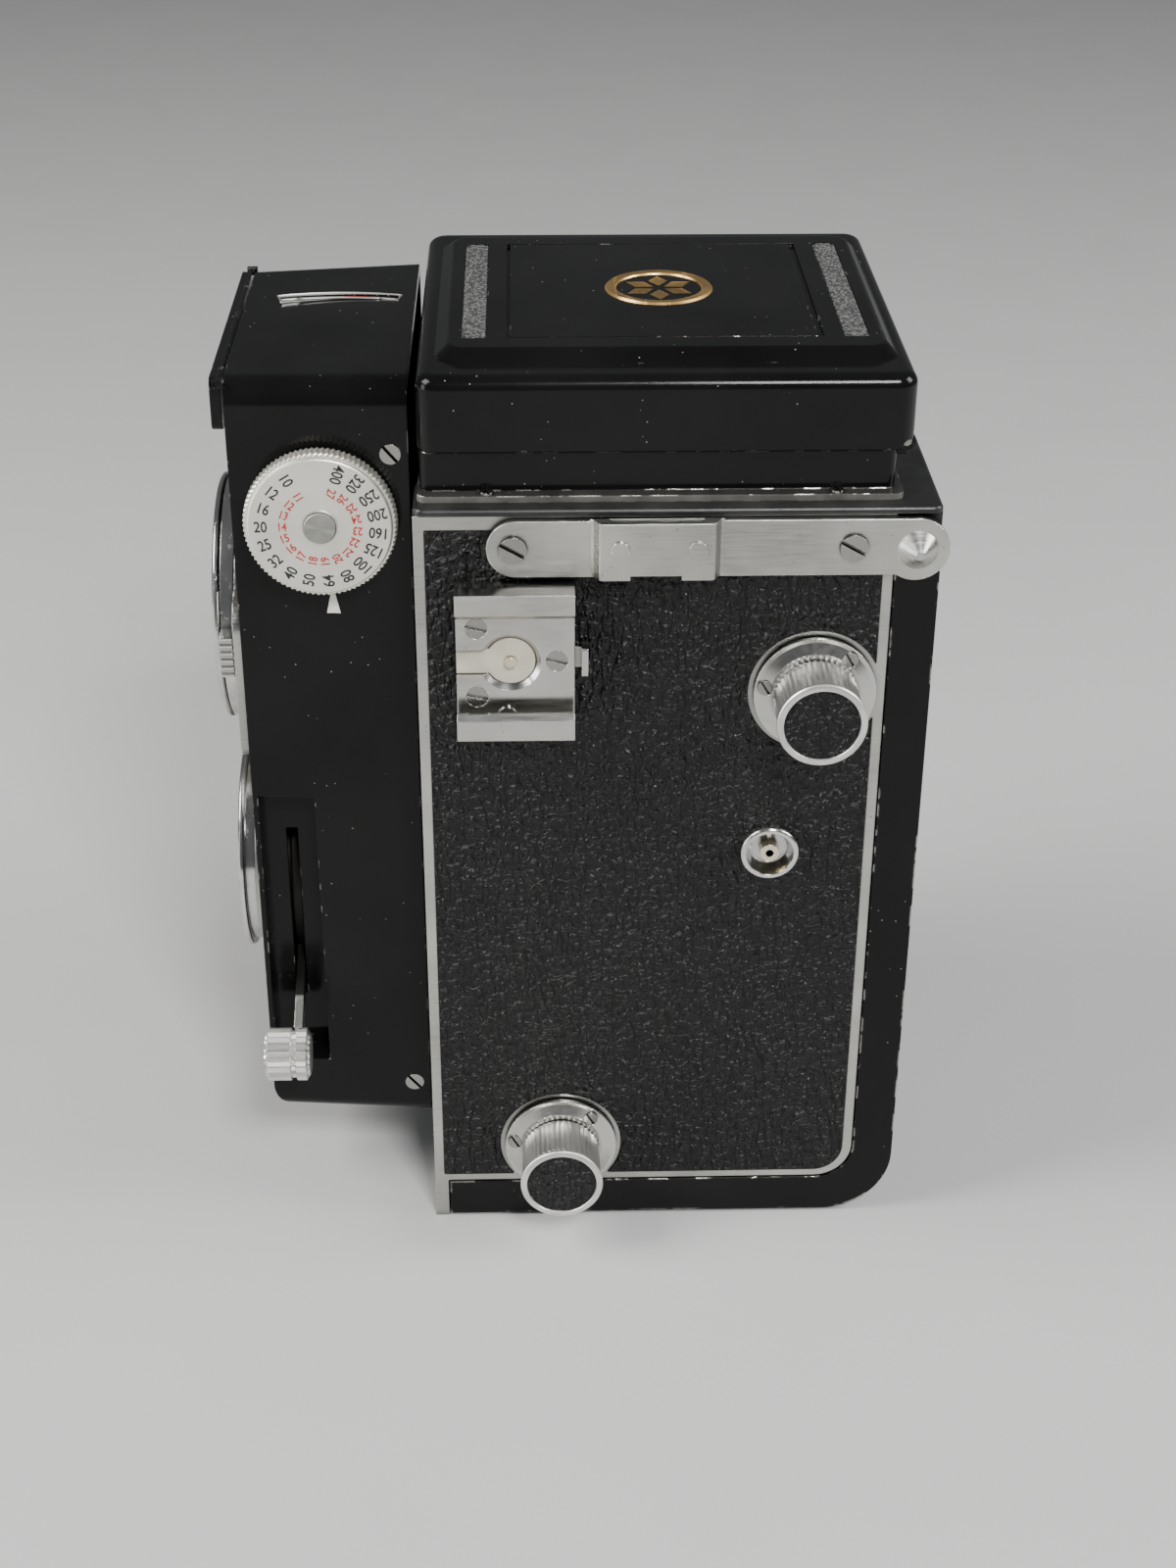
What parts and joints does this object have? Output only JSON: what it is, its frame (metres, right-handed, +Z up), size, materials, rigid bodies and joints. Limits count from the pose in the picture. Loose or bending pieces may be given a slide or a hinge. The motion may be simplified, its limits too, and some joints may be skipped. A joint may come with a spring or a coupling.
{
  "type": "twin lens reflex camera",
  "caption": "Box shaped twin lens reflex film camera with folding waist-level hood, see-saw focusing lever, side accessory shoe, film knobs, wind crank and hinged back.",
  "frame": {"origin": "mouth of the tripod bush, on the plane that the camera stands on", "axes": "+Z up, -Y the way the lenses look, +X the camera's own left side"},
  "size_m": [0.098, 0.1062, 0.1438],
  "materials": {
    "black_enamel": "gloss",
    "satin_aluminium": "satin",
    "bright_chrome": "polished",
    "cast_alloy": "matt black lacquer",
    "leatherette": "pebbled",
    "cream_insulator": "matt",
    "lens_glass": "polished",
    "mirror": "polished",
    "steel": "brushed",
    "brass": "polished",
    "black_plastic": "matt"
  },
  "bodies": {
    "camera_body": {"body_casting": "cast_alloy", "film_gate": "cast_alloy", "reflex_mirror": "mirror", "focusing_screen": "lens_glass", "left_trim_plate": "satin_aluminium", "right_trim_plate": "satin_aluminium", "left_leatherette": "leatherette", "right_leatherette": "leatherette", "left_strap_bar": "satin_aluminium", "right_strap_bar": "satin_aluminium", "case_screws": "steel", "accessory_shoe": "bright_chrome", "shoe_insulator": "cream_insulator", "sync_socket_ring": "bright_chrome", "flash_contacts": "brass", "knob_flanges": "bright_chrome", "small_screws": "steel", "crank_bearing": "satin_aluminium", "counter_window": "bright_chrome", "hood_base": "black_enamel", "hinge_pins": "steel"},
    "front_standard": {"front_housing": "black_enamel", "standard_sleeve": "cast_alloy", "front_plate": "satin_aluminium", "viewing_lens_bezel": "bright_chrome", "taking_lens_bezel": "bright_chrome", "viewing_lens_glass": "lens_glass", "taking_lens_glass": "lens_glass", "shutter_housing": "cast_alloy", "meter_cell": "lens_glass", "meter_window": "lens_glass", "housing_screws": "steel"},
    "focus_lever": {"focus_lever": "bright_chrome", "focus_grips": "bright_chrome"},
    "film_speed_dial": {"asa_dial": "satin_aluminium"},
    "exposure_ring": {"exposure_ring": "bright_chrome"},
    "sync_lever": {"sync_lever": "bright_chrome"},
    "shutter_button": {"shutter_button": "bright_chrome"},
    "meter_flap": {"meter_flap": "black_enamel"},
    "back_door": {"door_back": "black_enamel", "door_floor": "black_enamel", "door_leatherette": "leatherette", "pressure_plate": "steel", "tripod_bush": "steel"},
    "door_lock": {"door_lock_ring": "bright_chrome"},
    "upper_knob": {"upper_knob": "bright_chrome"},
    "lower_knob": {"lower_knob": "bright_chrome"},
    "take_up": {"take_up_spool": "black_plastic", "take_up_shaft": "steel"},
    "upper_roller": {"upper_roller": "steel"},
    "lower_roller": {"lower_roller": "steel"},
    "wind_crank": {"wind_crank": "bright_chrome"},
    "crank_handle": {"crank_handle": "bright_chrome"},
    "counter": {"counter_disc": "satin_aluminium"},
    "hood_lid": {"hood_lid": "black_enamel"},
    "left_wing": {"hood_left_wing": "cast_alloy"},
    "right_wing": {"hood_right_wing": "cast_alloy"},
    "hood_front_panel": {"hood_front_panel": "cast_alloy"},
    "magnifier": {"magnifier_frame": "cast_alloy", "magnifier_lens": "lens_glass"}
  },
  "joints": [
    {"name": "focus_slide", "type": "slide", "parent": "camera_body", "child": "front_standard", "axis": [0, -1, 0], "range_m": [0, 0.007]},
    {"name": "focus_lever_turn", "type": "hinge", "parent": "front_standard", "child": "focus_lever", "pos_m": [0, 0, 0.0495], "axis": [0, -1, 0], "range_deg": [0, 56]},
    {"name": "film_speed_turn", "type": "hinge", "parent": "front_standard", "child": "film_speed_dial", "pos_m": [0.028, -0.0503, 0.1195], "axis": [1, 0, 0], "range_deg": [-152, 152]},
    {"name": "exposure_turn", "type": "hinge", "parent": "front_standard", "child": "exposure_ring", "pos_m": [0, -0.066, 0.0945], "axis": [0, 1, 0], "range_deg": [-50, 0]},
    {"name": "sync_turn", "type": "hinge", "parent": "front_standard", "child": "sync_lever", "pos_m": [-0.0135, -0.065, 0.078], "axis": [0, 1, 0], "range_deg": [-35, 0]},
    {"name": "shutter_press", "type": "slide", "parent": "front_standard", "child": "shutter_button", "axis": [0, 1, 0], "range_m": [0, 0.003], "stiffness_N_per_m": 400, "springref_m": -0.001},
    {"name": "meter_flap_lift", "type": "hinge", "parent": "front_standard", "child": "meter_flap", "pos_m": [0, -0.0641, 0.1387], "axis": [-1, 0, 0], "range_deg": [0, 90]},
    {"name": "door_swing", "type": "hinge", "parent": "camera_body", "child": "back_door", "pos_m": [0, 0.0335, 0.1185], "axis": [1, 0, 0], "range_deg": [0, 90]},
    {"name": "door_lock_turn", "type": "hinge", "parent": "back_door", "child": "door_lock", "pos_m": [0, 0, 0.0005], "axis": [0, 0, 1], "range_deg": [0, 90]},
    {"name": "upper_knob_pull", "type": "slide", "parent": "camera_body", "child": "upper_knob", "axis": [1, 0, 0], "range_m": [0, 0.006]},
    {"name": "lower_knob_pull", "type": "slide", "parent": "camera_body", "child": "lower_knob", "axis": [1, 0, 0], "range_m": [0, 0.006]},
    {"name": "crank_turn", "type": "hinge", "parent": "camera_body", "child": "wind_crank", "pos_m": [-0.039, -0.002, 0.084], "axis": [-1, 0, 0], "continuous": true},
    {"name": "crank_handle_fold", "type": "hinge", "parent": "wind_crank", "child": "crank_handle", "pos_m": [-0.0462, -0.002, 0.059], "axis": [0, -1, 0], "range_deg": [0, 90]},
    {"name": "take_up_turn", "type": "hinge", "parent": "camera_body", "child": "take_up", "pos_m": [0, 0.0202, 0.0959], "axis": [-1, 0, 0], "continuous": true},
    {"name": "counter_turn", "type": "hinge", "parent": "camera_body", "child": "counter", "pos_m": [-0.033, -0.0185, 0.104], "axis": [-1, 0, 0], "continuous": true},
    {"name": "upper_roller_turn", "type": "hinge", "parent": "camera_body", "child": "upper_roller", "pos_m": [0, 0.0252, 0.0816], "axis": [1, 0, 0], "continuous": true},
    {"name": "lower_roller_turn", "type": "hinge", "parent": "camera_body", "child": "lower_roller", "pos_m": [0, 0.0252, 0.013], "axis": [1, 0, 0], "continuous": true},
    {"name": "hood_open", "type": "hinge", "parent": "camera_body", "child": "hood_lid", "pos_m": [0, 0.032, 0.1319], "axis": [-1, 0, 0], "range_deg": [0, 90]},
    {"name": "left_wing_fold", "type": "hinge", "parent": "camera_body", "child": "left_wing", "pos_m": [0.0312, 0, 0.1324], "axis": [0, 1, 0], "range_deg": [0, 90]},
    {"name": "right_wing_fold", "type": "hinge", "parent": "camera_body", "child": "right_wing", "pos_m": [-0.0312, 0, 0.1324], "axis": [0, -1, 0], "range_deg": [0, 90]},
    {"name": "front_panel_fold", "type": "hinge", "parent": "camera_body", "child": "hood_front_panel", "pos_m": [0, -0.0336, 0.1339], "axis": [1, 0, 0], "range_deg": [0, 90]},
    {"name": "magnifier_swing", "type": "hinge", "parent": "hood_lid", "child": "magnifier", "pos_m": [0, 0.002, 0.137], "axis": [1, 0, 0], "range_deg": [0, 90]}
  ],
  "couplings": [
    {"joint": "focus_lever_turn", "follows": "focus_slide", "rad_per_m": 139.61},
    {"joint": "take_up_turn", "follows": "crank_turn", "ratio": 1.5},
    {"joint": "counter_turn", "follows": "crank_turn", "ratio": 0.1},
    {"joint": "left_wing_fold", "follows": "hood_open", "ratio": 1},
    {"joint": "right_wing_fold", "follows": "hood_open", "ratio": 1},
    {"joint": "front_panel_fold", "follows": "hood_open", "ratio": 1},
    {"joint": "magnifier_swing", "follows": "hood_open", "ratio": 1}
  ]
}
